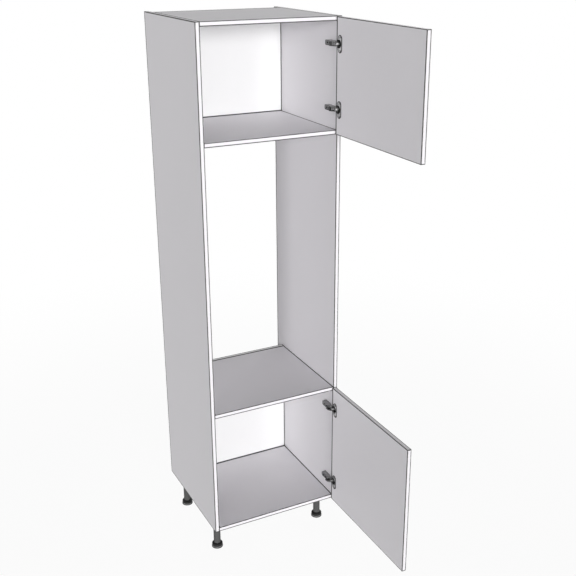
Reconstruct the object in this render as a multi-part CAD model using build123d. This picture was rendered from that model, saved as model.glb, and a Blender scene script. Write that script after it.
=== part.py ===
from build123d import *
import os
from math import asin, cos, hypot, radians, sin

# Tall oven housing unit, in millimetres. +Z is up and the doors face -Y.
# The origin lies on the floor, at the middle of the unit as it stands with its doors open.

# Carcass boards
carcass_width = 600.0
carcass_height = 2150.0
carcass_depth = 560.0
board_thickness = 18.0
back_thickness = 18.0
service_void = 50.0
leg_height = 150.0
band_thickness = 0.8

# Doors
upper_door_height = 450.0
lower_door_height = 570.0
door_thickness = 18.0
door_reveal = 2.0
door_gap = 3.0
door_band_thickness = 0.8

# Dowels
dowel_radius = 4.0
dowel_length = 30.0
dowel_in_side = 10.0
dowel_groove_depth = 0.4
dowel_groove_half_angle = 12.0
dowel_setback = 92.0
back_dowel_height_shares = (0.12, 0.5, 0.88)

# Cam fittings
cam_radius = 7.4
cam_height = 12.4
cam_inset = 24.0
cam_slot_length = 9.0
cam_slot_width = 1.6
cam_slot_depth = 2.0
cam_setback = 60.0
bolt_thread_radius = 2.5
bolt_thread_length = 11.0
bolt_shank_radius = 3.4
bolt_neck_radius = 2.0
bolt_neck_length = 5.0
bolt_head_radius = 3.2
bolt_head_length = 3.0
bolt_bore_radius = 4.0

# Levelling legs
leg_side_inset = 45.0
front_leg_setback = 102.0
rear_leg_inset = 78.0
tube_radius = 15.5
tube_wall = 2.5
socket_plate_size = 56.0
socket_plate_thickness = 4.0
socket_plate_corner = 8.0
socket_collar_wall = 3.0
socket_collar_height = 18.0
socket_screw_offset = 20.0
foot_radius = 25.0
foot_lip_height = 5.0
foot_body_radius = 23.8
foot_height = 20.0
foot_shoulder_radius = 4.0
foot_hub_radius = 17.0
foot_hub_height = 2.4
stem_length = 70.0
foot_extension = 30.0

# Wood screws, in the leg sockets and the hinge cups
screw_shank_radius = 1.75
screw_length = 15.0
screw_head_radius = 3.4
screw_head_height = 1.6
screw_recess_width = 0.9
screw_recess_depth = 0.8

# Hinge positions and the angles at which they stand and stop
hinge_end_distance = 100.0
rest_angle = 90.0
open_limit_angle = 105.0

# Hinge pivots, with the door closed
outer_arm_pivot_standoff = 24.1
outer_arm_pivot_setback = 16.0
inner_arm_pivot_standoff = 10.2
inner_arm_pivot_ahead = 1.3
outer_cup_pivot_inset = 10.3
outer_cup_pivot_depth = 1.3
inner_cup_pivot_inset = 10.9
inner_cup_pivot_depth = 3.8
arm_pin_radius = 1.4
cup_pin_radius = 0.9
outer_link_turn_share = -0.300
inner_link_turn_share = -0.544

# Hinge links
link_eye_wall = 1.2
outer_link_width = 2.8
outer_link_bow = 10.2
outer_link_inner_level = 5.4
outer_link_cheek = 2.0
outer_link_web_share = 0.35
inner_link_width = 2.4
inner_link_bow = 8.0
inner_link_half_height = 3.4
open_pivot_play = 0.7

# Hinge cup
cup_radius = 17.5
cup_edge_distance = 3.5
cup_depth = 12.0
cup_wall = 1.2
cup_floor = 1.0
flange_thickness = 1.2
flange_radius = 18.5
flange_height = 68.0
flange_width = 30.0
flange_offset = 6.0
cup_screw_spacing = 48.0
cup_ear_inner_level = 3.7
cup_ear_thickness = 1.3
cup_outer_ear_level = 7.8
cup_ear_margin = 2.6
cup_ear_cover = 2.2

# Hinge arm and its mounting plate
arm_height = 20.0
arm_sheet = 1.6
arm_standoff = 20.0
arm_rear_setback = 64.5
arm_shoulder_setback = 24.0
arm_web_setback = 19.6
arm_outer_boss_radius = 3.2
arm_inner_boss_radius = 2.9
arm_corner_radius = 6.0
arm_rear_wall = 4.0
plate_front_setback = 21.0
plate_base_thickness = 2.5
plate_rib_height = 14.0
plate_rib_side_gap = 0.3
plate_rib_end_gap = 1.0
euro_screw_setback = 37.0
euro_screw_spacing = 16.0
euro_screw_radius = 2.95
euro_screw_length = 13.0
euro_head_radius = 4.2
euro_head_height = 2.5
euro_seat_height = 3.0
adjusting_screw_setback = 29.0
fixing_screw_setback = 45.0
arm_screw_radius = 2.0
arm_screw_length = 14.0
arm_screw_head_radius = 3.2
arm_screw_head_height = 1.8

# Clearances
fit_clearance = 0.05
running_clearance = 0.08
dowel_clearance = 0.1
hole_end_clearance = 0.3
seat_gap = 0.3
cam_clearance = 0.1
overrun = 5.0

# Places worked out from the sizes above
inner_width = carcass_width - 2 * board_thickness
side_face = inner_width / 2
shelf_depth = carcass_depth - service_void - back_thickness
oven_shelf_top = door_reveal + lower_door_height + door_reveal
upper_shelf_bottom = carcass_height - door_reveal - upper_door_height - door_reveal
door_width = carcass_width - 2 * door_reveal
door_edge = door_width / 2


def turned(point, centre, angle):
    """A point turned about a centre in plan, by an angle in degrees."""
    dx = point[0] - centre[0]
    dy = point[1] - centre[1]
    c = cos(radians(angle))
    s = sin(radians(angle))
    return (centre[0] + c * dx - s * dy, centre[1] + s * dx + c * dy)


def hinge_plan(front):
    """The pivots and the door's inner corner in plan, closed and at rest, for a given front plane."""
    arm_outer = (side_face - outer_arm_pivot_standoff, front + outer_arm_pivot_setback)
    arm_inner = (side_face - inner_arm_pivot_standoff, front - inner_arm_pivot_ahead)
    face = front - door_gap
    cup_outer = (door_edge - outer_cup_pivot_inset, face - outer_cup_pivot_depth)
    cup_inner = (door_edge - inner_cup_pivot_inset, face - inner_cup_pivot_depth)
    outer_turn = outer_link_turn_share * rest_angle
    inner_turn = inner_link_turn_share * rest_angle
    cup_outer_rest = turned(cup_outer, arm_outer, outer_turn)
    shift = (cup_outer_rest[0] - cup_outer[0], cup_outer_rest[1] - cup_outer[1])
    corner_turned = turned((door_edge, face), cup_outer, rest_angle)
    corner_rest = (corner_turned[0] + shift[0], corner_turned[1] + shift[1])
    return {
        "arm_outer": arm_outer,
        "arm_inner": arm_inner,
        "cup_outer": cup_outer,
        "cup_inner": cup_inner,
        "outer_turn": outer_turn,
        "inner_turn": inner_turn,
        "shift": shift,
        "cup_outer_rest": cup_outer_rest,
        "corner_rest": corner_rest,
        "face": face,
    }


# The open doors reach out in front, so the origin lies between their free edges and the rear
door_reach = door_width - hinge_plan(0)["corner_rest"][1]
front = (door_reach - carcass_depth) / 2
rear = front + carcass_depth
base = leg_height
plan = hinge_plan(front)
door_face = plan["face"]
cup_centre = door_edge - cup_edge_distance - cup_radius
cup_inner_radius = cup_radius - dowel_clearance - cup_wall
back_front = front + shelf_depth
upper_door_bottom = base + upper_shelf_bottom + door_reveal
lower_door_bottom = base + door_reveal
upper_hinges = (
    upper_door_bottom + upper_door_height - hinge_end_distance,
    upper_door_bottom + hinge_end_distance,
)
lower_hinges = (
    lower_door_bottom + lower_door_height - hinge_end_distance,
    lower_door_bottom + hinge_end_distance,
)
leg_x = carcass_width / 2 - leg_side_inset
leg_places = {
    "front_left": (-leg_x, front + front_leg_setback),
    "front_right": (leg_x, front + front_leg_setback),
    "rear_left": (-leg_x, rear - rear_leg_inset),
    "rear_right": (leg_x, rear - rear_leg_inset),
}
shelf_bottoms = {
    "base_panel": base,
    "oven_shelf": base + oven_shelf_top - board_thickness,
    "upper_shelf": base + upper_shelf_bottom,
    "top_panel": base + carcass_height - board_thickness,
}
back_boards = {
    "lower_back_panel": (base, base + oven_shelf_top),
    "upper_back_panel": (base + upper_shelf_bottom, base + carcass_height),
}


def block(x0, x1, y0, y1, z0, z1):
    """A box between two corners."""
    return Pos((x0 + x1) / 2, (y0 + y1) / 2, (z0 + z1) / 2) * Box(x1 - x0, y1 - y0, z1 - z0)


def rod_x(x0, x1, y, z, radius):
    """A round bar along X."""
    return Pos((x0 + x1) / 2, y, z) * Rot(0, 90, 0) * Cylinder(radius, abs(x1 - x0))


def rod_y(y0, y1, x, z, radius):
    """A round bar along Y."""
    return Pos(x, (y0 + y1) / 2, z) * Rot(90, 0, 0) * Cylinder(radius, abs(y1 - y0))


def rod_z(z0, z1, x, y, radius):
    """A round bar along Z."""
    return Pos(x, y, (z0 + z1) / 2) * Cylinder(radius, abs(z1 - z0))


def layer(face, z0, z1):
    """A plan face raised between two heights."""
    return Pos(0, 0, z0) * extrude(face, z1 - z0, dir=(0, 0, 1))


def save(name, shapes):
    """Write one node as a STEP file. A group of solids is written as one compound."""
    if isinstance(shapes, (list, tuple)):
        shapes = Compound(children=list(shapes))
    export_step(shapes, os.path.join("parts", name + ".step"))


# Dowels and cam fittings


def side_dowel(side, y, z):
    """A fluted dowel that lies half in a side panel. side is 1 on the right and -1 on the left."""
    outer = side * (side_face + dowel_in_side)
    inner = outer - side * dowel_length
    shape = rod_x(outer, inner, y, z, dowel_radius)
    flute = block(
        min(outer, inner) - overrun,
        max(outer, inner) + overrun,
        y - dowel_radius * sin(radians(dowel_groove_half_angle)),
        y + dowel_radius * sin(radians(dowel_groove_half_angle)),
        z + dowel_radius - dowel_groove_depth,
        z + dowel_radius + overrun,
    )
    return shape - flute


def dowel_bores(side, y, z):
    """The bore in the side panel and in the board's end that one dowel fills."""
    outer = side * (side_face + dowel_in_side + hole_end_clearance)
    inner = side * (side_face + dowel_in_side - dowel_length - hole_end_clearance)
    return rod_x(outer, inner, y, z, dowel_radius + dowel_clearance)


def cam_bolt(side, y, z):
    """A bolt screwed into a side panel, with the neck and head that the cam draws in."""
    thread_end = side * (side_face + bolt_thread_length)
    face = side * side_face
    centre = side * (side_face - cam_inset)
    head_start = centre + side * bolt_head_length / 2
    head_end = centre - side * bolt_head_length / 2
    neck_start = head_start + side * bolt_neck_length
    shape = rod_x(thread_end, face, y, z, bolt_thread_radius)
    shape += rod_x(face, neck_start, y, z, bolt_shank_radius)
    shape += rod_x(neck_start, head_start, y, z, bolt_neck_radius)
    shape += rod_x(head_start, head_end, y, z, bolt_head_radius)
    return shape


def cam_bolt_thread_bore(side, y, z):
    """The pilot bore of one bolt in the side panel."""
    outer = side * (side_face + bolt_thread_length + hole_end_clearance)
    return rod_x(outer, side * (side_face - overrun), y, z, bolt_thread_radius + fit_clearance)


def cam_bores(side, y, bottom):
    """The bores in a board for one cam, from below, and for its bolt, from the end."""
    centre = side * (side_face - cam_inset)
    well_top = bottom + cam_height + hole_end_clearance
    well = rod_z(bottom - overrun, well_top, centre, y, cam_radius + cam_clearance)
    end = side * (side_face + overrun)
    return well + rod_x(centre, end, y, bottom + board_thickness / 2, bolt_bore_radius)


def cam_lock(side, y, bottom):
    """A slotted cam, with the channel that takes the bolt's head."""
    centre = side * (side_face - cam_inset)
    shape = rod_z(bottom, bottom + cam_height, centre, y, cam_radius)
    mouth = side * (side_face - cam_inset + cam_radius + overrun)
    back = centre - side * (bolt_head_length / 2 + hole_end_clearance)
    channel = rod_x(mouth, back, y, bottom + board_thickness / 2, bolt_head_radius + hole_end_clearance)
    slot = block(
        centre - cam_slot_length / 2,
        centre + cam_slot_length / 2,
        y - cam_slot_width / 2,
        y + cam_slot_width / 2,
        bottom - overrun,
        bottom + cam_slot_depth,
    )
    return shape - channel - slot


sides = (-1, 1)
dowel_rows = (front + dowel_setback, back_front - dowel_setback)
cam_rows = (front + cam_setback, back_front - cam_setback)


def back_dowel_heights(name):
    """The heights of the dowels in one back board."""
    bottom, top = back_boards[name]
    return [bottom + share * (top - bottom) for share in back_dowel_height_shares]


# Wood screws


def wood_screw_down(x, y, seat):
    """A pan-head screw driven upwards, with its head below the seat."""
    shape = rod_z(seat - screw_head_height, seat, x, y, screw_head_radius)
    shape += rod_z(seat, seat + screw_length, x, y, screw_shank_radius)
    for length, width in ((screw_head_radius, screw_recess_width), (screw_recess_width, screw_head_radius)):
        shape -= block(
            x - length / 2,
            x + length / 2,
            y - width / 2,
            y + width / 2,
            seat - screw_head_height - overrun,
            seat - screw_head_height + screw_recess_depth,
        )
    return shape


def socket_screw_places():
    """The plan places of the four screws of every leg socket."""
    places = []
    for x, y in leg_places.values():
        for dx in (-socket_screw_offset, socket_screw_offset):
            for dy in (-socket_screw_offset, socket_screw_offset):
                places.append((x + dx, y + dy))
    return places


def socket_screw_pilots():
    """Pilot holes for the socket screws, in the underside of the carcass."""
    depth = screw_length - socket_plate_thickness + hole_end_clearance
    radius = screw_shank_radius + fit_clearance
    return [rod_z(base - overrun, base + depth, x, y, radius) for x, y in socket_screw_places()]


# Hinge screws


def euro_screw_rows():
    """The two places, behind the front plane, where a mounting plate is screwed on."""
    return (front + euro_screw_setback, front + euro_screw_setback + euro_screw_spacing)


def euro_screw(y, z):
    """A coarse-threaded screw that holds a mounting plate to the side panel."""
    seat = side_face - euro_seat_height
    shape = rod_x(seat - euro_head_height, seat, y, z, euro_head_radius)
    shape += rod_x(seat, side_face + euro_screw_length, y, z, euro_screw_radius)
    shape -= rod_x(
        seat - euro_head_height - overrun,
        seat - euro_head_height + screw_recess_depth,
        y,
        z,
        screw_recess_width,
    )
    return shape


def arm_screw(setback, z):
    """A machine screw through the arm's top into the plate's rib."""
    top = side_face - arm_standoff
    shape = rod_x(top - arm_screw_head_height, top, front + setback, z, arm_screw_head_radius)
    shape += rod_x(top, top + arm_screw_length, front + setback, z, arm_screw_radius)
    shape -= block(
        top - arm_screw_head_height - overrun,
        top - arm_screw_head_height + screw_recess_depth,
        front + setback - arm_screw_head_radius / 2,
        front + setback + arm_screw_head_radius / 2,
        z - screw_recess_width / 2,
        z + screw_recess_width / 2,
    )
    return shape


def cup_screw(height):
    """A wood screw through the cup's flange into the door, with the door closed."""
    x = cup_centre - flange_offset
    seat = door_face + flange_thickness
    shape = rod_y(seat, seat + screw_head_height, x, height, screw_head_radius)
    shape += rod_y(seat, seat - screw_length, x, height, screw_shank_radius)
    top = seat + screw_head_height
    for length, width in ((screw_head_radius, screw_recess_width), (screw_recess_width, screw_head_radius)):
        shape -= block(
            x - length / 2,
            x + length / 2,
            top - screw_recess_depth,
            top + overrun,
            height - width / 2,
            height + width / 2,
        )
    return shape


def cup_screw_heights(z):
    """The heights of the two flange screws of a hinge."""
    return (z - cup_screw_spacing / 2, z + cup_screw_spacing / 2)


# Carcass boards


def side_panel(side):
    """A full-height side with the bores of its dowels and bolts, and on the right of its hinges."""
    x0, x1 = sorted((side * side_face, side * carcass_width / 2))
    shape = block(x0, x1, front + band_thickness, rear, base, base + carcass_height)
    cuts = []
    for bottom in shelf_bottoms.values():
        middle = bottom + board_thickness / 2
        cuts += [dowel_bores(side, y, middle) for y in dowel_rows]
        cuts += [cam_bolt_thread_bore(side, y, middle) for y in cam_rows]
    for name in back_boards:
        for height in back_dowel_heights(name):
            cuts.append(dowel_bores(side, back_front + back_thickness / 2, height))
    if side > 0:
        end = side_face + euro_screw_length + hole_end_clearance
        for z in upper_hinges + lower_hinges:
            for y in euro_screw_rows():
                cuts.append(rod_x(side_face - overrun, end, y, z, euro_screw_radius + fit_clearance))
    return shape - cuts


def shelf(name):
    """A horizontal board between the sides, bored for its dowels and cams."""
    bottom = shelf_bottoms[name]
    shape = block(
        -side_face, side_face, front + band_thickness, back_front, bottom, bottom + board_thickness
    )
    cuts = []
    for side in sides:
        cuts += [dowel_bores(side, y, bottom + board_thickness / 2) for y in dowel_rows]
        cuts += [cam_bores(side, y, bottom) for y in cam_rows]
    if name == "base_panel":
        cuts += socket_screw_pilots()
    return shape - cuts


def back_board(name):
    """A back board between the sides, set in from their rear edges."""
    bottom, top = back_boards[name]
    shape = block(-side_face, side_face, back_front, back_front + back_thickness, bottom, top)
    cuts = []
    for side in sides:
        for height in back_dowel_heights(name):
            cuts.append(dowel_bores(side, back_front + back_thickness / 2, height))
    if name == "lower_back_panel":
        cuts += socket_screw_pilots()
    return shape - cuts


def side_band(side):
    """The strip on a side panel's front edge."""
    x0, x1 = sorted((side * side_face, side * carcass_width / 2))
    return block(x0, x1, front, front + band_thickness, base, base + carcass_height)


def shelf_bands():
    """The strips on the front edges of the horizontal boards."""
    strips = []
    for bottom in shelf_bottoms.values():
        strips.append(
            block(-side_face, side_face, front, front + band_thickness, bottom, bottom + board_thickness)
        )
    return strips


# Levelling legs


def leg_socket(x, y):
    """A square plate under the base, with the collar that takes the tube."""
    plate = Pos(x, y, base - socket_plate_thickness) * extrude(
        RectangleRounded(socket_plate_size, socket_plate_size, socket_plate_corner),
        socket_plate_thickness,
    )
    collar_bottom = base - socket_plate_thickness - socket_collar_height
    bore = tube_radius + running_clearance
    shape = plate + rod_z(collar_bottom, base - socket_plate_thickness, x, y, bore + socket_collar_wall)
    shape -= rod_z(collar_bottom - overrun, base - socket_plate_thickness, x, y, bore)
    for dx in (-socket_screw_offset, socket_screw_offset):
        for dy in (-socket_screw_offset, socket_screw_offset):
            shape -= rod_z(
                base - socket_plate_thickness - overrun,
                base + overrun,
                x + dx,
                y + dy,
                screw_shank_radius + fit_clearance,
            )
    return shape


def leg_tube(x, y):
    """The leg's shaft, from the foot's hub up into the socket."""
    bottom = foot_height + foot_hub_height + seat_gap
    top = base - socket_plate_thickness
    shape = rod_z(bottom, top, x, y, tube_radius)
    return shape - rod_z(bottom - overrun, top + overrun, x, y, tube_radius - tube_wall)


def leg_foot(x, y):
    """The round foot, with the stem that screws in and out of the tube."""
    shape = rod_z(0, foot_lip_height, x, y, foot_radius)
    body = rod_z(0, foot_height, x, y, foot_body_radius)
    body = fillet(body.edges().group_by(Axis.Z)[-1], foot_shoulder_radius)
    hub_top = foot_height + foot_hub_height
    shape = shape + body + rod_z(0, hub_top, x, y, foot_hub_radius)
    stem_radius = tube_radius - tube_wall - running_clearance
    return shape + rod_z(0, hub_top + stem_length, x, y, stem_radius)


# Hinge parts that stand on the side panel


def arm_plan(y0):
    """The arm's outline in plan: a flat back part and a nose round the two pivots."""
    back = Pos((side_face - arm_standoff + side_face - plate_base_thickness) / 2,
               (front + arm_shoulder_setback + y0) / 2) * Rectangle(
        arm_standoff - plate_base_thickness, y0 - front - arm_shoulder_setback
    )
    outer = Pos(*plan["arm_outer"]) * Circle(arm_outer_boss_radius)
    inner = Pos(*plan["arm_inner"]) * Circle(arm_inner_boss_radius)
    shoulder = Line(
        (side_face - arm_standoff, front + arm_shoulder_setback),
        (side_face - plate_base_thickness, front + arm_shoulder_setback),
    )
    nose = make_hull([*outer.edges(), *inner.edges(), shoulder])
    return back + nose


def hinge_arm(z):
    """A folded arm: two cheeks under a flat top, open to the panel and to the front."""
    half = arm_height / 2
    cavity_half = half - arm_sheet
    shape = layer(arm_plan(front + arm_rear_setback), z - half, z + half)
    rear_edges = shape.edges().filter_by(Axis.X).group_by(Axis.Y)[-1]
    shape = fillet(rear_edges, arm_corner_radius)
    hollow = layer(arm_plan(front + arm_rear_setback - arm_rear_wall), z - cavity_half, z + cavity_half)
    shape -= Pos(arm_sheet, 0, 0) * hollow
    shape -= block(
        side_face - arm_standoff - outer_arm_pivot_standoff,
        side_face,
        front - outer_arm_pivot_setback,
        front + arm_web_setback,
        z - cavity_half,
        z + cavity_half,
    )
    for x, y in (plan["arm_outer"], plan["arm_inner"]):
        shape -= rod_z(z - half - overrun, z + half + overrun, x, y, arm_pin_radius + fit_clearance)
    for setback in (adjusting_screw_setback, fixing_screw_setback):
        shape -= rod_x(
            side_face - arm_standoff - overrun,
            side_face - arm_standoff + overrun,
            front + setback,
            z,
            arm_screw_radius + fit_clearance,
        )
    return shape


def mounting_plate(z):
    """The plate that the arm straddles: a thin base and a rib that its screws go into."""
    half = arm_height / 2
    rear_end = front + arm_rear_setback
    shape = block(
        side_face - plate_base_thickness, side_face, front + plate_front_setback, rear_end,
        z - half, z + half,
    )
    shape = fillet(shape.edges().filter_by(Axis.X).group_by(Axis.Y)[-1], arm_corner_radius)
    rib_half = half - arm_sheet - plate_rib_side_gap
    shape += block(
        side_face - plate_rib_height,
        side_face - plate_base_thickness,
        front + plate_front_setback,
        rear_end - arm_rear_wall - plate_rib_end_gap,
        z - rib_half,
        z + rib_half,
    )
    for y in euro_screw_rows():
        shape -= rod_x(
            side_face - plate_rib_height - overrun,
            side_face - euro_seat_height,
            y,
            z,
            euro_head_radius + hole_end_clearance,
        )
        shape -= rod_x(side_face - overrun, side_face + overrun, y, z, euro_screw_radius + fit_clearance)
    hole_end = side_face - arm_standoff + arm_screw_length + hole_end_clearance
    for setback in (adjusting_screw_setback, fixing_screw_setback):
        shape -= rod_x(
            side_face - plate_rib_height - overrun, hole_end, front + setback, z,
            arm_screw_radius + fit_clearance,
        )
    return shape


def arm_pins(z):
    """The two pins that the links turn on in the arm."""
    half = arm_height / 2
    places = (plan["arm_outer"], plan["arm_inner"])
    return [rod_z(z - half, z + half, x, y, arm_pin_radius) for x, y in places]


# Hinge links


def link_bow(start, end, bow, width, stop_share=1.0):
    """A curved strip between two pivots, bowed towards the door side, cut short at a share."""
    dx = end[0] - start[0]
    dy = end[1] - start[1]
    chord = hypot(dx, dy)
    middle = ((start[0] + end[0]) / 2 + dy / chord * bow, (start[1] + end[1]) / 2 - dx / chord * bow)
    arc = ThreePointArc(start, middle, end)
    if stop_share < 1.0:
        arc = arc.trim(0, stop_share)
    return trace(arc, width)


def outer_link(z):
    """Two cheeks joined at the arm's pivot and by a web, with the door closed."""
    start = plan["arm_outer"]
    end = plan["cup_outer"]
    arm_bore = arm_pin_radius + running_clearance
    cup_bore = cup_pin_radius + running_clearance
    strip = link_bow(start, end, outer_link_bow, outer_link_width)
    strip += Pos(*start) * Circle(arm_bore + link_eye_wall)
    strip += Pos(*end) * Circle(cup_bore + link_eye_wall)
    web = link_bow(start, end, outer_link_bow, outer_link_width, outer_link_web_share)
    web += Pos(*start) * Circle(arm_bore + link_eye_wall)
    low = outer_link_inner_level
    high = outer_link_inner_level + outer_link_cheek
    shape = layer(strip, z + low, z + high)
    shape += layer(strip, z - high, z - low)
    shape += layer(web, z - low, z + low)
    shape -= rod_z(z - high - overrun, z + high + overrun, start[0], start[1], arm_bore)
    shape -= rod_z(z - high - overrun, z + high + overrun, end[0], end[1], cup_bore)
    return shape


def inner_link(z):
    """The short link between the cheeks. Its eye in the cup is the linkage's open pivot."""
    start = plan["arm_inner"]
    end = plan["cup_inner"]
    arm_bore = arm_pin_radius + running_clearance
    cup_bore = cup_pin_radius + open_pivot_play
    half = inner_link_half_height
    strip = link_bow(start, end, inner_link_bow, inner_link_width)
    strip += Pos(*start) * Circle(arm_bore + link_eye_wall)
    strip += Pos(*end) * Circle(cup_bore + link_eye_wall)
    shape = layer(strip, z - half, z + half)
    shape -= rod_z(z - half - overrun, z + half + overrun, start[0], start[1], arm_bore)
    shape -= rod_z(z - half - overrun, z + half + overrun, end[0], end[1], cup_bore)
    return shape


# Hinge cup, with the door closed


def cup_pin_end():
    """Half the length over the two stub pins of the cup."""
    inset = cup_radius + cup_edge_distance - outer_cup_pivot_inset
    return cup_inner_radius * cos(asin(inset / cup_inner_radius))


def hinge_cup(z):
    """A cup with its flange, and the four ears inside it that hold its pins."""
    floor = door_face - cup_depth
    rim = door_face + flange_thickness
    shape = rod_y(floor, rim, cup_centre, z, cup_radius - dowel_clearance)
    flange = Circle(flange_radius)
    flange += Pos(flange_offset, 0) * Rot(0, 0, 90) * SlotOverall(flange_height, flange_width)
    plane = Plane(origin=(cup_centre, door_face, z), x_dir=(-1, 0, 0), z_dir=(0, 1, 0))
    shape += extrude(plane * flange, flange_thickness)
    cavity = rod_y(floor + cup_floor, rim + overrun, cup_centre, z, cup_inner_radius)
    shape -= cavity
    ear_top = door_face - outer_cup_pivot_depth + cup_ear_cover
    ear_right = door_edge - outer_cup_pivot_inset + cup_ear_margin
    ear_left = door_edge - inner_cup_pivot_inset - cup_ear_margin
    inner_level = cup_ear_inner_level
    ear_levels = (
        (inner_level, inner_level + cup_ear_thickness),
        (cup_outer_ear_level, cup_inner_radius),
    )
    ears = []
    for low, high in ear_levels:
        for bottom, top in ((low, high), (-high, -low)):
            ears.append(block(ear_left, ear_right, floor, ear_top, z + bottom, z + top))
    limit = rod_y(floor, rim, cup_centre, z, cup_inner_radius + cup_wall / 2)
    for ear in ears:
        shape += ear & limit
    cup_pin_bore = cup_pin_radius + fit_clearance
    stub_end = cup_pin_end() + fit_clearance
    x, y = plan["cup_outer"]
    shape -= rod_z(z - stub_end, z + stub_end, x, y, cup_pin_bore)
    x, y = plan["cup_inner"]
    reach = cup_ear_inner_level + cup_ear_thickness + fit_clearance
    shape -= rod_z(z - reach, z + reach, x, y, cup_pin_bore)
    for height in cup_screw_heights(z):
        shape -= rod_y(
            door_face - overrun, rim + overrun, cup_centre - flange_offset, height,
            screw_shank_radius + fit_clearance,
        )
    return shape


def cup_pins(z):
    """Two stub pins for the outer link and one short pin for the inner link."""
    x, y = plan["cup_outer"]
    end = cup_pin_end()
    pins = [
        rod_z(z + cup_ear_inner_level, z + end, x, y, cup_pin_radius),
        rod_z(z - end, z - cup_ear_inner_level, x, y, cup_pin_radius),
    ]
    x, y = plan["cup_inner"]
    reach = cup_ear_inner_level + cup_ear_thickness
    pins.append(rod_z(z - reach, z + reach, x, y, cup_pin_radius))
    return pins


# Doors, closed


def door_panel(bottom, height, hinges):
    """The door board, bored for its cups and their screws."""
    edge = door_edge - door_band_thickness
    shape = block(
        -edge, edge, door_face - door_thickness, door_face,
        bottom + door_band_thickness, bottom + height - door_band_thickness,
    )
    cuts = []
    for z in hinges:
        floor = door_face - cup_depth - hole_end_clearance
        cuts.append(rod_y(floor, door_face + overrun, cup_centre, z, cup_radius))
        pilot_end = door_face + flange_thickness - screw_length - hole_end_clearance
        for screw_height in cup_screw_heights(z):
            cuts.append(
                rod_y(pilot_end, door_face + overrun, cup_centre - flange_offset, screw_height,
                      screw_shank_radius + fit_clearance)
            )
    return shape - cuts


def door_bands(bottom, height):
    """The strips on a door's four edges."""
    outer = door_edge
    inner = door_edge - door_band_thickness
    y0 = door_face - door_thickness
    top = bottom + height
    return [
        block(inner, outer, y0, door_face, bottom, top),
        block(-outer, -inner, y0, door_face, bottom, top),
        block(-inner, inner, y0, door_face, bottom, bottom + door_band_thickness),
        block(-inner, inner, y0, door_face, top - door_band_thickness, top),
    ]


# From closed to the angle at which the unit stands


def about(point, angle, shape):
    """A shape turned about a vertical axis through a plan point."""
    x, y = point
    return Pos(x, y, 0) * Rot(0, 0, angle) * Pos(-x, -y, 0) * shape


def opened_door(shape):
    """A door piece swung from closed to rest."""
    return Pos(*plan["shift"], 0) * about(plan["cup_outer"], rest_angle, shape)


def opened_outer_link(shape):
    """An outer link swung from closed to rest."""
    return about(plan["arm_outer"], plan["outer_turn"], shape)


def opened_inner_link(shape):
    """An inner link swung from closed to rest."""
    return about(plan["arm_inner"], plan["inner_turn"], shape)


# Build every piece

os.makedirs("parts", exist_ok=True)

save("left_side_panel", side_panel(-1))
save("right_side_panel", side_panel(1))
save("left_side_edge_band", side_band(-1))
save("right_side_edge_band", side_band(1))
save("shelf_edge_bands", shelf_bands())
for name in shelf_bottoms:
    save(name, shelf(name))
for name in back_boards:
    save(name, back_board(name))

shelf_dowels = []
cam_bolts = []
cam_locks = []
for bottom in shelf_bottoms.values():
    for side in sides:
        middle = bottom + board_thickness / 2
        shelf_dowels += [side_dowel(side, y, middle) for y in dowel_rows]
        cam_bolts += [cam_bolt(side, y, middle) for y in cam_rows]
        cam_locks += [cam_lock(side, y, bottom) for y in cam_rows]
back_dowels = []
for name in back_boards:
    for side in sides:
        for height in back_dowel_heights(name):
            back_dowels.append(side_dowel(side, back_front + back_thickness / 2, height))
save("shelf_dowels", shelf_dowels)
save("cam_bolts", cam_bolts)
save("cam_locks", cam_locks)
save("back_dowels", back_dowels)

for place, (x, y) in leg_places.items():
    save("leg_socket_" + place, leg_socket(x, y))
    save("leg_tube_" + place, leg_tube(x, y))
    save("leg_foot_" + place, leg_foot(x, y))
socket_seat = base - socket_plate_thickness
save("leg_socket_screws", [wood_screw_down(x, y, socket_seat) for x, y in socket_screw_places()])

doors = {
    "upper": (upper_door_bottom, upper_door_height, upper_hinges),
    "lower": (lower_door_bottom, lower_door_height, lower_hinges),
}
plate_screws = []
arm_screws = []
all_arm_pins = []
for door, (bottom, height, hinges) in doors.items():
    save(door + "_door_panel", opened_door(door_panel(bottom, height, hinges)))
    save(door + "_door_edge_bands", [opened_door(strip) for strip in door_bands(bottom, height)])
    cup_screws = []
    pins = []
    for end, z in zip(("top", "bottom"), hinges):
        hinge = door + "_door_" + end
        save(hinge + "_hinge_plate", mounting_plate(z))
        save(hinge + "_hinge_arm", hinge_arm(z))
        save(hinge + "_hinge_outer_link", opened_outer_link(outer_link(z)))
        save(hinge + "_hinge_inner_link", opened_inner_link(inner_link(z)))
        save(hinge + "_hinge_cup", opened_door(hinge_cup(z)))
        cup_screws += [opened_door(cup_screw(height_z)) for height_z in cup_screw_heights(z)]
        pins += [opened_door(pin) for pin in cup_pins(z)]
        plate_screws += [euro_screw(y, z) for y in euro_screw_rows()]
        arm_screws += [arm_screw(setback, z) for setback in (adjusting_screw_setback, fixing_screw_setback)]
        all_arm_pins += arm_pins(z)
    save(door + "_door_cup_screws", cup_screws)
    save(door + "_door_cup_pins", pins)
save("hinge_plate_screws", plate_screws)
save("hinge_arm_screws", arm_screws)
save("hinge_arm_pins", all_arm_pins)

# The plan places of the pivots, and how far each joint turns from rest

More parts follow.
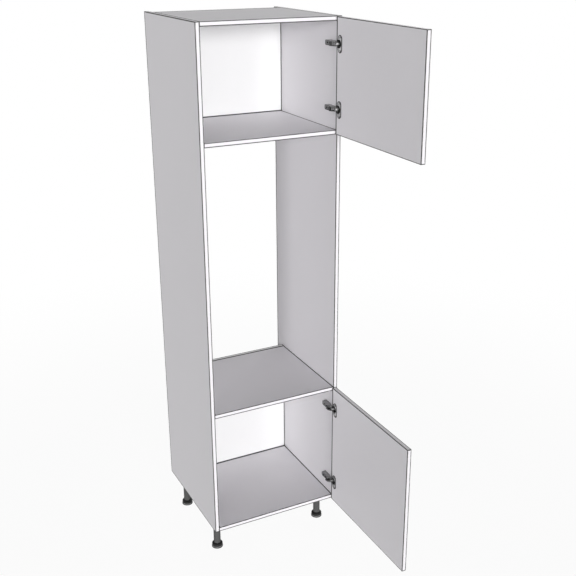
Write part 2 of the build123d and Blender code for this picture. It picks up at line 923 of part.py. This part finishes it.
leader_per_degree = 1 - outer_link_turn_share
leader_range = (-rest_angle * leader_per_degree, (open_limit_angle - rest_angle) * leader_per_degree)
print("front plane", front, "door reach", door_reach)
print("outer link pivot", plan["arm_outer"], "inner link pivot", plan["arm_inner"])
print("door pivot at rest", plan["cup_outer_rest"], "door corner at rest", plan["corner_rest"])
print("door range from the outer link", leader_range)
print("outer link ratio", outer_link_turn_share / leader_per_degree)
print("inner link ratio", inner_link_turn_share / leader_per_degree)
print("foot range", foot_extension)
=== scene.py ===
"""A tall white oven housing unit with its doors open, dressed for rendering.

Lengths are in metres in the model's own frame: +Z up, the open front faces -Y.
"""

from collections import namedtuple
from math import radians

import bpy
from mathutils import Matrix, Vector


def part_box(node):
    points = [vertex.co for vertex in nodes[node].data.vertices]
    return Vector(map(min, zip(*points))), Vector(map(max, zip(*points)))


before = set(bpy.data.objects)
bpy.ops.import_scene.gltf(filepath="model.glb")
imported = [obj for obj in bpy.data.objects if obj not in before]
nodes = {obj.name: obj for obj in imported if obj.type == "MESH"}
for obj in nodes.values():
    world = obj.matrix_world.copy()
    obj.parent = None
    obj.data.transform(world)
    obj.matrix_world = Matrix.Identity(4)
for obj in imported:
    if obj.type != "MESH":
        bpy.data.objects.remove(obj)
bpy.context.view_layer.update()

# Camera, as the photograph was taken: place, direction in degrees, lens and centre of projection
CAMERA_PLACE = (-1.50795, -3.12362, 2.57495)
CAMERA_YAW = -27.62
CAMERA_PITCH = -21.01
SENSOR_WIDTH = 36.0
LENS = 57.089
CAMERA_SHIFT = (-0.02845, 0.00179)
CAMERA_REACH = 50.0

# Light levels: the soft surround, then broad lights by the way that they shine and their strength
SURROUND_LEVEL = 0.246
LIGHTS = {
    "front_light": ((0.08, 1.0, -0.12), 2.14),
    "left_light": ((1.0, 0.9, -0.11), 1.19),
    "back_light": ((-0.8, -0.8, -0.15), 0.95),
}
# How wide each light looks, in degrees
LIGHT_SPREAD = 16.0

# Floor: its size, how far it lies below the feet, its grey, and the share of plain white that the
# camera sees in it. That share is the glow near the unit and 1 beyond the second distance.
FLOOR_SIZE = 120.0
FLOOR_DROP = 0.0005
FLOOR_GREY = 0.8
FLOOR_ROUGH = 0.9
FLOOR_GLOW = 0.94
FLOOR_FADE = (1.2, 4.0)


# Shader tools

# A noise: its scale, its finer octaves, their weight, and the stretch of its coordinates
Noise = namedtuple("Noise", "scale detail weight stretch", defaults=(2.0, 0.5, None))
# A fine texture: its noise, how far that varies the roughness, and the bump's strength and depth
Texture = namedtuple("Texture", "noise variation strength depth")


class Socket:
    """A shader output that can be used in Python sums: each operator adds its Math node."""

    def __init__(self, tree, out):
        self.tree = tree
        self.out = out

    def math(self, operation, other=0.0):
        return node(self.tree, "ShaderNodeMath", {0: self, 1: other}, operation=operation)

    def __add__(self, other):
        return self.math("ADD", other)

    __radd__ = __add__

    def __mul__(self, other):
        return self.math("MULTIPLY", other)

    __rmul__ = __mul__

    def __sub__(self, other):
        return self.math("SUBTRACT", other)

    def __rsub__(self, other):
        return node(self.tree, "ShaderNodeMath", {0: other, 1: self}, operation="SUBTRACT")

    def magnitude(self):
        return self.math("ABSOLUTE")

    def least(self, other):
        return self.math("MINIMUM", other)

    def most(self, other):
        return self.math("MAXIMUM", other)

    def ramp(self, low, high):
        """0 below low, 1 above high and smooth between."""
        inputs = {"Value": self, "From Min": low, "From Max": high}
        return node(self.tree, "ShaderNodeMapRange", inputs, interpolation_type="SMOOTHSTEP")


def node(tree, kind, inputs=None, output=0, **settings):
    """Make one shader node: its settings first, then the values or links of its sockets."""
    made = tree.nodes.new(kind)
    for key, value in settings.items():
        setattr(made, key, value)
    for key, value in (inputs or {}).items():
        if isinstance(value, Socket):
            tree.links.new(value.out, made.inputs[key])
        else:
            made.inputs[key].default_value = value
    return Socket(tree, made.outputs[output])


def distance(first, second):
    """The length of a line that goes this far along two axes."""
    return (first * first + second * second).math("SQRT")


def seen_rays(tree):
    """1 for the rays of the camera, mirrors and glass, and 0 for the rays that light things."""
    path = tree.nodes.new("ShaderNodeLightPath")
    seen = Socket(tree, path.outputs["Is Camera Ray"])
    for ray in ("Is Glossy Ray", "Is Transmission Ray"):
        seen = seen.most(Socket(tree, path.outputs[ray]))
    return seen


def grey(level, tint=(1.0, 1.0, 1.0)):
    """A near-neutral colour of one level."""
    return tuple(level * part for part in tint) + (1.0,)


WHITE = grey(1.0)


class Finish:
    """One material with its principled shader, object coordinates, noises and bump."""

    def __init__(self, name, **constants):
        self.material = bpy.data.materials.new(name)
        self.material.use_nodes = True
        self.tree = self.material.node_tree
        self.shader = self.tree.nodes["Principled BSDF"]
        for key, value in constants.items():
            self.shader.inputs[key.replace("_", " ")].default_value = value
        self.place = node(self.tree, "ShaderNodeTexCoord", output="Object")

    def axes(self):
        """The three object coordinates as numbers."""
        split = self.tree.nodes.new("ShaderNodeSeparateXYZ")
        self.tree.links.new(self.place.out, split.inputs[0])
        return [Socket(self.tree, out) for out in split.outputs]

    def noise(self, kind):
        """A noise on the object's own coordinates, from 0 to 1."""
        vector = self.place
        if kind.stretch is not None:
            inputs = {"Vector": vector, "Scale": kind.stretch}
            vector = node(self.tree, "ShaderNodeMapping", inputs)
        inputs = {
            "Vector": vector,
            "Scale": kind.scale,
            "Detail": kind.detail,
            "Roughness": kind.weight,
        }
        return node(self.tree, "ShaderNodeTexNoise", inputs, output="Fac")

    def texture(self, kind, rough):
        """Feed a fine texture to the roughness and the bump, and give its noise back."""
        fine = self.noise(kind.noise)
        self.feed("Roughness", fine * kind.variation + rough)
        inputs = {"Height": fine, "Strength": kind.strength, "Distance": kind.depth}
        self.feed("Normal", node(self.tree, "ShaderNodeBump", inputs))
        return fine

    def mix(self, share, first, second):
        """A colour between two, by a share from 0 to 1."""
        inputs = {"Factor": share, 6: first, 7: second}
        return node(self.tree, "ShaderNodeMix", inputs, output=2, data_type="RGBA")

    def vary(self, share, level, spread):
        """A grey that goes from the first to the second multiple of its level, by a share."""
        low, high = spread
        return self.mix(share, grey(level * low), grey(level * high))

    def feed(self, socket, value):
        self.tree.links.new(value.out, self.shader.inputs[socket])


# Board finishes: gloss, roughness, levels of white and tints

MELAMINE_GLOSS = 0.25
MELAMINE_ROUGH = 0.42
MELAMINE = 0.80
MELAMINE_TINT = (1.005, 0.985, 1.018)
# The back boards' lighter, neutral white is painted light, for their fronts that face the front
# light
BACK_LIT_WHITE = 0.875
BACK_LIT_TINT = (1.0, 1.0, 1.0)
CLOUD_DEPTH = 0.02
CLOUD = Noise(3.0, detail=3.0)
PEARL = Texture(Noise(900.0), variation=0.12, strength=0.12, depth=0.0002)

TAPE_GLOSS = 0.4
TAPE_ROUGH = 0.34
TAPE_LEVELS = (0.80, 0.82)
SATIN = Texture(Noise(500.0), variation=0.08, strength=0.08, depth=0.0002)

# The painted shade line along a piece's borders, in place of the shade at its arrises: its level,
# and where it fades, in widths of the line
LINE_SHADE = 0.04
LINE_FADE = (0.55, 1.0)
# More widths of the line than the fade has, so a distance with this added has no line
PAST_LINE = 2.0


def even(width):
    """The same width of line along all the borders."""
    return ((width, width),) * 3


# Widths of the line, for the low and the high face across a piece, along its depth and up it.
# A border beside an edge band has a thin line, as the band has its own.
LINE_WIDTHS = {
    "side_panel": ((0.004, 0.004), (0.002, 0.008), (0.005, 0.005)),
    "top_panel": ((0.006, 0.006), (0.003, 0.012), (0.005, 0.005)),
    "shelf": ((0.007, 0.007), (0.002, 0.007), (0.005, 0.005)),
    "base_panel": ((0.007, 0.007), (0.002, 0.007), (0.005, 0.005)),
    "back_panel": even(0.005),
    "door_panel": ((0.003, 0.003), (0.002, 0.008), (0.0025, 0.0025)),
    "edge_band": even(0.004),
    "shelf_edge_bands": ((0.0020, 0.0020), (0.0040, 0.0040), (0.0046, 0.0034)),
    "door_edge_bands": even(0.004),
}
# The boards that meet the front of each back board, below and above it
BACK_MEETINGS = {
    "upper_back_panel": ("upper_shelf", "top_panel"),
    "lower_back_panel": ("base_panel", "oven_shelf"),
}
# The boards whose front bands make up one piece
SHELVES = ("base_panel", "oven_shelf", "upper_shelf", "top_panel")


def nearest_plane(value, planes, widths=None):
    """Distance of a coordinate to the nearest of some planes, in line widths if they are given."""
    away = [(value - plane).magnitude() for plane in planes]
    if widths is not None:
        away = [gap * (1 / width) for gap, width in zip(away, widths)]
    nearest = away[0]
    for gap in away[1:]:
        nearest = nearest.least(gap)
    return nearest


def shade_line_mask(finish, name):
    """1 on the thin line of painted shade along a board's arrises and 0 inside it.

    On a box the distance from a surface point to the nearest arris is the middle one of its
    distances to the three pairs of faces, because the smallest is zero there. Each is counted
    in widths of the line that follows that face.
    """
    low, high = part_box(name)
    widths = next(LINE_WIDTHS[ending] for ending in LINE_WIDTHS if name.endswith(ending))
    place = finish.axes()
    reach = [nearest_plane(*each) for each in zip(place, zip(low, high), widths)]
    if name == "shelf_edge_bands":
        # The two widths repeat for the low and the high face of each board's band
        heights = [corner[2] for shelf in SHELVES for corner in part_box(shelf)]
        reach[2] = nearest_plane(place[2], heights, widths[2] * len(SHELVES))
    if name in BACK_MEETINGS:
        below, above = BACK_MEETINGS[name]
        behind = place[1].math("GREATER_THAN", (low[1] + high[1]) / 2)
        meeting = nearest_plane(place[2], [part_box(below)[1][2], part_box(above)[0][2]], widths[2])
        reach[2] = reach[2].least(meeting + behind * PAST_LINE)
    small = reach[0].least(reach[1])
    large = reach[0].most(reach[1])
    middle = small.most(large.least(reach[2]))
    return 1 - middle.ramp(*LINE_FADE)


def melamine(name):
    """White melamine: a fine pearl texture, a faint cloudiness, and painted shade along the
    arrises.

    The back boards are painted a little lighter and more neutral than the others, as painted light
    where they face the front light.
    """
    finish = Finish("melamine_" + name, Specular_IOR_Level=MELAMINE_GLOSS)
    finish.texture(PEARL, MELAMINE_ROUGH)
    is_back = name in BACK_MEETINGS
    level = BACK_LIT_WHITE if is_back else MELAMINE
    tint = BACK_LIT_TINT if is_back else MELAMINE_TINT
    cloud = finish.noise(CLOUD)
    colour = finish.mix(cloud, grey(level - CLOUD_DEPTH, tint), grey(level, tint))
    finish.feed("Base Color", finish.mix(shade_line_mask(finish, name), colour, grey(LINE_SHADE)))
    return finish.material


def edge_tape(name):
    """White plastic edge band: smoother than the board, with the same painted shade along its
    arrises.
    """
    finish = Finish("edge_band_" + name, Specular_IOR_Level=TAPE_GLOSS)
    fine = finish.texture(SATIN, TAPE_ROUGH)
    dark, light = [grey(level, MELAMINE_TINT) for level in TAPE_LEVELS]
    colour = finish.mix(fine, dark, light)
    finish.feed("Base Color", finish.mix(shade_line_mask(finish, name), colour, grey(LINE_SHADE)))
    return finish.material


# Moulded plastic of the legs

LEG_GLOSS = 0.12
SPARK = Texture(Noise(1500.0), variation=0.15, strength=0.2, depth=0.0002)
FLOW = Noise(40.0, detail=3.0, weight=0.6, stretch=(1.0, 1.0, 0.3))
FLOW_SPREAD = (0.85, 1.15)
FOOT_LEVEL = 0.020
FOOT_ROUGH = 0.45
# The painted highlight, a paler line round the top of a foot's lip: its level, its height, and
# where it fades above and below
LIP_HIGHLIGHT = 0.20
LIP_HIGHLIGHT_HEIGHT = 0.006
LIP_HIGHLIGHT_FADE = (0.0014, 0.0034)


def moulded_plastic(name, level, rough):
    """Dark moulded plastic: fine spark texture and a faint flow pattern."""
    finish = Finish(name, Specular_IOR_Level=LEG_GLOSS)
    finish.texture(SPARK, rough)
    finish.feed("Base Color", finish.vary(finish.noise(FLOW), level, FLOW_SPREAD))
    return finish.material


def foot_plastic(name):
    """Black moulded plastic with a painted highlight, a paler line round the top of the foot's lip.
    """
    finish = Finish("plastic_" + name, Specular_IOR_Level=LEG_GLOSS)
    finish.texture(SPARK, FOOT_ROUGH)
    height = finish.axes()[2]
    off_highlight = nearest_plane(height, [LIP_HIGHLIGHT_HEIGHT]).ramp(*LIP_HIGHLIGHT_FADE)
    finish.feed("Base Color", finish.mix(off_highlight, grey(LIP_HIGHLIGHT), grey(FOOT_LEVEL)))
    return finish.material


# Plated steel and nickel of the hinges and fasteners

DRAWN = Texture(Noise(700.0), variation=0.15, strength=0.1, depth=0.0001)
DRAWN_ALONG_ARM = DRAWN._replace(noise=Noise(700.0, stretch=(1.0, 0.1, 1.0)))
DRAWN_SPREAD = (0.9, 1.1)
PATCH = Noise(120.0)
PATCH_SPREAD = (0.88, 1.0)
NICKEL_ROUGH = 0.32

# A hinge arm: the levels of its web, its upper cheek painted lighter as painted light, and the
# painted shade lines along its edges, then for each edge the distances from it where the shade
# starts to fade and ends
ARM_NICKEL = 0.22
ARM_LIT_CHEEK = 0.32
ARM_SHADE_LINE = 0.02
CHEEK_FADE = (0.0001, 0.0004)
UPPER_LINE_FADE = (0.0008, 0.0020)
LOWER_LINE_FADE = (0.0014, 0.0050)
FOOT_LINE_FADE = (0.0010, 0.0030)
REAR_LINE_FADE = (0.0006, 0.0018)

# A hinge cup: its levels, the sizes that its patterns follow, and where each pattern fades
# The dark levels of the bowl, the border and the corners are painted shade
CUP_NICKEL = 0.60
CUP_BOWL_SHADE = 0.14
BOWL_FADE = (0.0150, 0.0158)
FLANGE_WIDTH = 0.030
FLANGE_RADIUS = 0.0185
BORDER_SHADE = 0.04
BORDER_FADE = (0.0028, 0.0050)
# Painted shade at the front corners of the flange, where its wall curves round: how far it lies
# ahead of its middle line and past its ends
CORNER_SHADE = 0.006
CORNER_AHEAD = 0.0090
CORNER_PAST_END = 0.0090
CORNER_FADE = (0.00455, 0.0065)


def plated_steel(name, level, rough, metal=1.0):
    """Plated pressed steel, with a fine grain and small cloudy patches."""
    finish = Finish(name, Metallic=metal)
    finish.texture(DRAWN, rough)
    finish.feed("Base Color", finish.vary(finish.noise(PATCH), level, PATCH_SPREAD))
    return finish.material


def hinge_arm_nickel(name):
    """Dark nickel on a hinge arm: an upper cheek painted paler as painted light, and painted shade
    in dark lines along its edges.

    The widest line runs along the lower edge. The others follow the upper edge of the arm's
    web, its rear end, and the foot of its cheeks.
    """
    finish = Finish("nickel_" + name, Metallic=1.0)
    drawn = finish.texture(DRAWN_ALONG_ARM, NICKEL_ROUGH)
    low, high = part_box(name)
    across, depth, up = finish.axes()
    from_top = high[2] - up
    off_cheek = from_top.ramp(*CHEEK_FADE)
    plain = (1 - off_cheek).most(from_top.ramp(*UPPER_LINE_FADE))
    plain = plain * (up - low[2]).ramp(*LOWER_LINE_FADE)
    plain = plain * (high[0] - across).ramp(*FOOT_LINE_FADE)
    plain = plain * (high[1] - depth).ramp(*REAR_LINE_FADE)
    colour = finish.vary(drawn, ARM_NICKEL, DRAWN_SPREAD)
    colour = finish.mix(off_cheek, grey(ARM_LIT_CHEEK), colour)
    finish.feed("Base Color", finish.mix(plain, grey(ARM_SHADE_LINE), colour))
    return finish.material


def hinge_cup_nickel(name):
    """Nickel on a hinge cup: a plain flange with painted shade in a dark border and corners, and
    painted shade in a dark bowl.

    The flange is a slot shape, the points within a radius of a short upright line, joined to
    the rim, a circle about the cup's centre.
    """
    finish = Finish("nickel_" + name, Metallic=1.0)
    drawn = finish.texture(DRAWN, NICKEL_ROUGH)
    low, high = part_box(name)
    depth, up = finish.axes()[1:]
    height = (up - (low[2] + high[2]) / 2).magnitude()
    half_width = FLANGE_WIDTH / 2
    past_end = (height - (high[2] - low[2]) / 2 + half_width).most(0.0)
    sideways = depth - (low[1] + half_width)
    inside_slot = half_width - distance(past_end, sideways)
    radius = distance(depth - (high[1] - FLANGE_RADIUS), height)
    border = 1 - inside_slot.most(FLANGE_RADIUS - radius).ramp(*BORDER_FADE)
    corner = 1 - distance(sideways + CORNER_AHEAD, past_end - CORNER_PAST_END).ramp(*CORNER_FADE)
    bowl = 1 - radius.ramp(*BOWL_FADE)
    colour = finish.vary(drawn, CUP_NICKEL, DRAWN_SPREAD)
    colour = finish.mix(border, colour, grey(BORDER_SHADE))
    colour = finish.mix(corner, colour, grey(CORNER_SHADE))
    finish.feed("Base Color", finish.mix(bowl, colour, grey(CUP_BOWL_SHADE)))
    return finish.material


# Beech of the dowels

BEECH_GLOSS = 0.2
BEECH_ROUGH = 0.55
BEECH_DARK = (0.60, 0.42, 0.24, 1.0)
BEECH_LIGHT = (0.74, 0.56, 0.36, 1.0)
ALONG_DOWEL = Noise(300.0, detail=3.0, weight=0.6, stretch=(0.08, 1.0, 1.0))
WOOD_GRAIN = Texture(ALONG_DOWEL, variation=0.2, strength=0.3, depth=0.0002)


def beech(name):
    """Bare beech with its grain along the dowel."""
    finish = Finish(name, Specular_IOR_Level=BEECH_GLOSS)
    grain = finish.texture(WOOD_GRAIN, BEECH_ROUGH)
    finish.feed("Base Color", finish.mix(grain, BEECH_DARK, BEECH_LIGHT))
    return finish.material


# The finishes that like pieces share, by the end or the start of a piece's name. A mounting
# plate has a pale, non-metallic finish as painted light, to brighten it where it lies in the arm's
# shade.

steel_finishes = {
    "hinge_plate": plated_steel("plate_nickel", level=0.85, rough=0.50, metal=0.0),
    "outer_link": plated_steel("outer_link_nickel", level=0.07, rough=0.40),
    "inner_link": plated_steel("inner_link_nickel", level=0.30, rough=0.45),
    "arm_screws": plated_steel("arm_screw_black", level=0.04, rough=0.40),
    "screws": plated_steel("screw_zinc", level=0.42, rough=0.30),
    "bolts": plated_steel("bolt_zinc", level=0.52, rough=0.30),
    "pins": plated_steel("pin_steel", level=0.30, rough=0.28),
    "cam_locks": plated_steel("cam_zinc", level=0.50, rough=0.42),
}
leg_finishes = {
    "leg_tube": moulded_plastic("leg_tube_plastic", level=0.092, rough=0.50),
    "leg_socket": moulded_plastic("leg_socket_plastic", level=0.030, rough=0.50),
}
dowel_finish = beech("dowel_beech")


def finish_for(name):
    """The material of one node, chosen by what the piece is."""
    if name.endswith(("edge_band", "edge_bands")):
        return edge_tape(name)
    if "dowels" in name:
        return dowel_finish
    if name.endswith("hinge_arm"):
        return hinge_arm_nickel(name)
    if name.endswith("hinge_cup"):
        return hinge_cup_nickel(name)
    if name.startswith("leg_foot"):
        return foot_plastic(name)
    for ending, material in steel_finishes.items():
        if name.endswith(ending):
            return material
    for start, material in leg_finishes.items():
        if name.startswith(start):
            return material
    return melamine(name)


def paint(name, material):
    """Give one node its material."""
    mesh = nodes[name].data
    mesh.materials.clear()
    mesh.materials.append(material)


for name in nodes:
    paint(name, finish_for(name))


# Floor, surround, lights and camera


def build_floor():
    """A pale floor that keeps the shadow of what stands on it and fades to white farther off."""
    half = FLOOR_SIZE / 2
    outline = ((-half, -half), (half, -half), (half, half), (-half, half))
    mesh = bpy.data.meshes.new("floor")
    mesh.from_pydata([(x, y, -FLOOR_DROP) for x, y in outline], [], [(0, 1, 2, 3)])
    floor = bpy.data.objects.new("floor", mesh)
    bpy.context.scene.collection.objects.link(floor)
    finish = Finish("floor_white", Base_Color=grey(FLOOR_GREY), Roughness=FLOOR_ROUGH)
    tree = finish.tree
    away = node(tree, "ShaderNodeVectorMath", {0: finish.place}, output="Value", operation="LENGTH")
    share = away.ramp(*FLOOR_FADE) * (1 - FLOOR_GLOW) + FLOOR_GLOW
    white = node(tree, "ShaderNodeEmission", {"Color": WHITE, "Strength": 1.0})
    shaded = Socket(tree, finish.shader.outputs[0])
    mixed = node(tree, "ShaderNodeMixShader", {0: seen_rays(tree) * share, 1: shaded, 2: white})
    tree.links.new(mixed.out, tree.nodes["Material Output"].inputs["Surface"])
    mesh.materials.append(finish.material)


def build_surround():
    """A white surround, which lights softly from all sides and is plain white to the camera."""
    world = bpy.data.worlds.new("surround")
    bpy.context.scene.world = world
    world.use_nodes = True
    tree = world.node_tree
    soft = tree.nodes["Background"]
    soft.inputs["Color"].default_value = WHITE
    soft.inputs["Strength"].default_value = SURROUND_LEVEL
    white = node(tree, "ShaderNodeBackground", {"Color": WHITE, "Strength": 1.0})
    lighting = Socket(tree, soft.outputs[0])
    mixed = node(tree, "ShaderNodeMixShader", {0: seen_rays(tree), 1: lighting, 2: white})
    tree.links.new(mixed.out, tree.nodes["World Output"].inputs["Surface"])


def build_light(name, direction, level):
    """A broad soft light from one direction."""
    lamp = bpy.data.lights.new(name, "SUN")
    lamp.energy = level
    lamp.angle = radians(LIGHT_SPREAD)
    lamp_object = bpy.data.objects.new(name, lamp)
    lamp_object.rotation_euler = Vector(direction).to_track_quat("-Z", "Y").to_euler()
    bpy.context.scene.collection.objects.link(lamp_object)


def build_camera():
    """The camera at the photograph's place and angle."""
    camera = bpy.data.cameras.new("camera")
    camera.sensor_width = SENSOR_WIDTH
    camera.lens = LENS
    camera.shift_x, camera.shift_y = CAMERA_SHIFT
    camera.clip_end = CAMERA_REACH
    camera_object = bpy.data.objects.new("camera", camera)
    camera_object.location = CAMERA_PLACE
    camera_object.rotation_euler = (radians(90 + CAMERA_PITCH), 0, radians(CAMERA_YAW))
    bpy.context.scene.collection.objects.link(camera_object)
    bpy.context.scene.camera = camera_object


build_floor()
build_surround()
for name, (direction, level) in LIGHTS.items():
    build_light(name, direction, level)
build_camera()
bpy.context.scene.view_settings.view_transform = "Standard"

bpy.context.view_layer.update()
